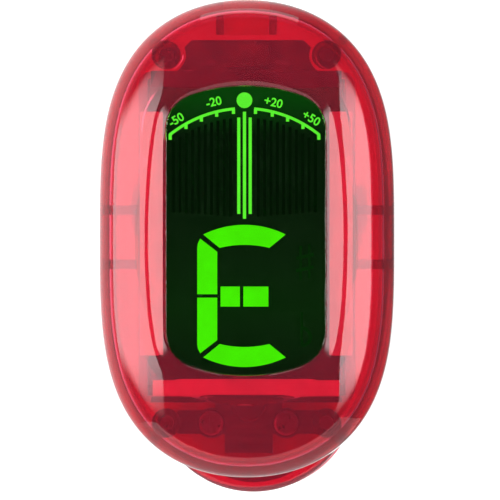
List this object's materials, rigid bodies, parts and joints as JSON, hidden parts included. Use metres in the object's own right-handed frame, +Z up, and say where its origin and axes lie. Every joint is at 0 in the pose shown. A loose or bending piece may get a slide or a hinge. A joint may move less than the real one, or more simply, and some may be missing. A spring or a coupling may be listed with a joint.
{
  "type": "clip-on tuner",
  "caption": "Oval display head with a tinted clear case, on a two-hinge folding arm with a swivel, carried by a sprung clip with rubber jaw pads.",
  "frame": {"origin": "centre of the round lower end of the fixed jaw pad, on its gripping face", "axes": "+Y from the display face towards the back of the clip, normal to the gripping face; +Z up along the head; +X to the right of someone reading the display"},
  "size_m": [0.0308, 0.0407, 0.0516],
  "materials": {
    "red_plastic": "clear red tint, polished",
    "clear_lens": "clear acrylic",
    "lcd_dark": "dark display glass with green segments",
    "chassis_plastic": "moulded",
    "acrylic": "clear acrylic",
    "strip_rubber": "moulded",
    "board": "solder resist",
    "resin_drop": "cast resin",
    "steel": "stamped",
    "chip_ceramic": "fired",
    "lamp_plastic": "moulded",
    "switch_metal": "stamped",
    "brass": "stamped",
    "cell_steel": "polished can",
    "spring_steel": "drawn wire and strip",
    "screw_steel": "zinc plated",
    "black_plastic": "fine spark texture",
    "pad_rubber": "ribbed soft rubber"
  },
  "bodies": {
    "clip_front": {"front_lever": "red_plastic", "front_pad": "pad_rubber", "pivot_pin": "screw_steel", "torsion_spring": "spring_steel", "arm_screw": "screw_steel", "arm_nut": "screw_steel"},
    "clip_back": {"back_lever": "red_plastic", "back_pad": "pad_rubber"},
    "arm": {"arm_link": "black_plastic"},
    "swivel": {"swivel_yoke": "black_plastic", "spindle_clip": "spring_steel", "tilt_screw": "screw_steel", "tilt_nut": "screw_steel"},
    "power_button": {"power_button": "red_plastic"},
    "battery_door": {"battery_door": "red_plastic"},
    "head": {"front_shell": "red_plastic", "back_shell": "red_plastic", "window_lens": "clear_lens", "lcd_glass": "lcd_dark", "lcd_chassis": "chassis_plastic", "light_guide": "acrylic", "zebra_strip": "strip_rubber", "circuit_board": "board", "controller_chip": "resin_drop", "quartz_crystal": "steel", "smd_parts": "chip_ceramic", "backlight_leds": "lamp_plastic", "tact_switch": "switch_metal", "piezo_disc": "brass", "friction_ring": "strip_rubber", "battery_cell": "cell_steel", "battery_plus_contact": "spring_steel", "battery_minus_contact": "spring_steel", "pivot_plate": "steel", "plate_screws": "screw_steel", "case_screws": "screw_steel"}
  },
  "joints": [
    {"name": "arm_hinge", "type": "hinge", "parent": "clip_front", "child": "arm", "pos_m": [0, -0.0068, 0.0263], "axis": [-1, 0, 0], "range_deg": [0, 100]},
    {"name": "tilt_hinge", "type": "hinge", "parent": "arm", "child": "swivel", "pos_m": [0, -0.0089, 0.0008], "axis": [1, 0, 0], "range_deg": [0, 60]},
    {"name": "head_swivel", "type": "hinge", "parent": "swivel", "child": "head", "pos_m": [0, -0.0136, 0.0008], "axis": [0, 1, 0], "range_deg": [-90, 90]},
    {"name": "jaw_hinge", "type": "hinge", "parent": "clip_front", "child": "clip_back", "pos_m": [0, 0.0025, 0.0171], "axis": [1, 0, 0], "range_deg": [0, 40], "stiffness_Nm_per_rad": 0.2, "springref_deg": -34.38, "deforming": ["torsion_spring"]},
    {"name": "power_button_press", "type": "slide", "parent": "head", "child": "power_button", "axis": [0, 0, -1], "range_m": [0, 0.0004], "stiffness_N_per_m": 2000, "springref_m": -0.0002},
    {"name": "battery_door_turn", "type": "hinge", "parent": "head", "child": "battery_door", "pos_m": [0, -0.0136, 0.0211], "axis": [0, 1, 0], "range_deg": [0, 45]}
  ]
}
